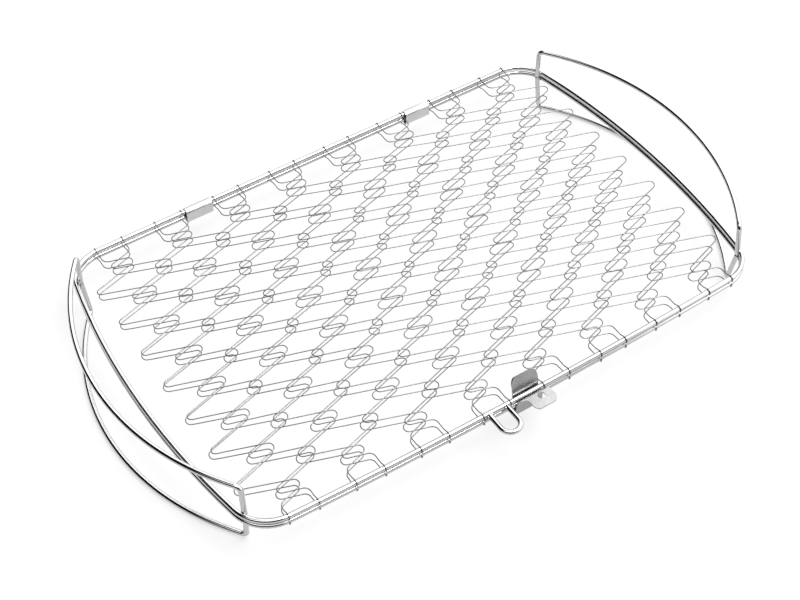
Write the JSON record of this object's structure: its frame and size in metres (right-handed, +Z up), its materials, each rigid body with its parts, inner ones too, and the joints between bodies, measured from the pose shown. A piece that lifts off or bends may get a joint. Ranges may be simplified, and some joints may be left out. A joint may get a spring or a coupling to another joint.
{
  "type": "grill basket",
  "caption": "Flat hinged wire grilling basket: two stacked rod frames strung with interlocked zig-zag mesh, bow handles at both ends, a finger loop and a sheet latch clip",
  "frame": {"origin": "centre of the bounding box in plan, on the plane that the two lower handle bows stand on", "axes": "+X along the long rails, from the left handles to the right handles; +Y from the latch side to the hinge side; +Z up, out of the lid"},
  "size_m": [0.515, 0.326, 0.0614],
  "materials": {
    "frame_rod": "bright drawn stainless steel rod, electropolished",
    "handle_rod": "bright drawn stainless steel rod, electropolished",
    "mesh_wire": "bright drawn stainless steel spring wire",
    "hinge_sheet": "mill-finish stainless steel sheet with fine lengthwise lines",
    "latch_sheet": "bright rolled stainless spring sheet, bent, edges tumbled"
  },
  "bodies": {
    "lower_half": {"lower_frame": "frame_rod", "lower_left_handle": "handle_rod", "lower_right_handle": "handle_rod", "left_hinge_clip": "hinge_sheet", "right_hinge_clip": "hinge_sheet", "lower_mesh_wire_01": "mesh_wire", "lower_mesh_wire_02": "mesh_wire", "lower_mesh_wire_03": "mesh_wire", "lower_mesh_wire_04": "mesh_wire", "lower_mesh_wire_05": "mesh_wire", "lower_mesh_wire_06": "mesh_wire", "lower_mesh_wire_07": "mesh_wire", "lower_mesh_wire_08": "mesh_wire", "lower_mesh_wire_09": "mesh_wire", "lower_mesh_wire_10": "mesh_wire", "lower_mesh_wire_11": "mesh_wire", "lower_mesh_wire_12": "mesh_wire", "lower_mesh_wire_13": "mesh_wire", "lower_mesh_wire_14": "mesh_wire", "lower_mesh_wire_15": "mesh_wire", "lower_mesh_wire_16": "mesh_wire"},
    "upper_half": {"upper_frame": "frame_rod", "upper_left_handle": "handle_rod", "upper_right_handle": "handle_rod", "finger_loop": "handle_rod", "upper_mesh_wire_01": "mesh_wire", "upper_mesh_wire_02": "mesh_wire", "upper_mesh_wire_03": "mesh_wire", "upper_mesh_wire_04": "mesh_wire", "upper_mesh_wire_05": "mesh_wire", "upper_mesh_wire_06": "mesh_wire", "upper_mesh_wire_07": "mesh_wire", "upper_mesh_wire_08": "mesh_wire", "upper_mesh_wire_09": "mesh_wire", "upper_mesh_wire_10": "mesh_wire", "upper_mesh_wire_11": "mesh_wire", "upper_mesh_wire_12": "mesh_wire", "upper_mesh_wire_13": "mesh_wire", "upper_mesh_wire_14": "mesh_wire", "upper_mesh_wire_15": "mesh_wire", "upper_mesh_wire_16": "mesh_wire"},
    "latch": {"latch_clip": "latch_sheet"}
  },
  "joints": [
    {"name": "lid_hinge", "type": "hinge", "parent": "lower_half", "child": "upper_half", "pos_m": [0, 0.16007, 0.0333], "axis": [-1, 0, 0], "range_deg": [0, 180]},
    {"name": "latch_rock", "type": "hinge", "parent": "lower_half", "child": "latch", "pos_m": [0.001, -0.13853, 0.0281], "axis": [-1, 0, 0], "range_deg": [0, 10]}
  ]
}
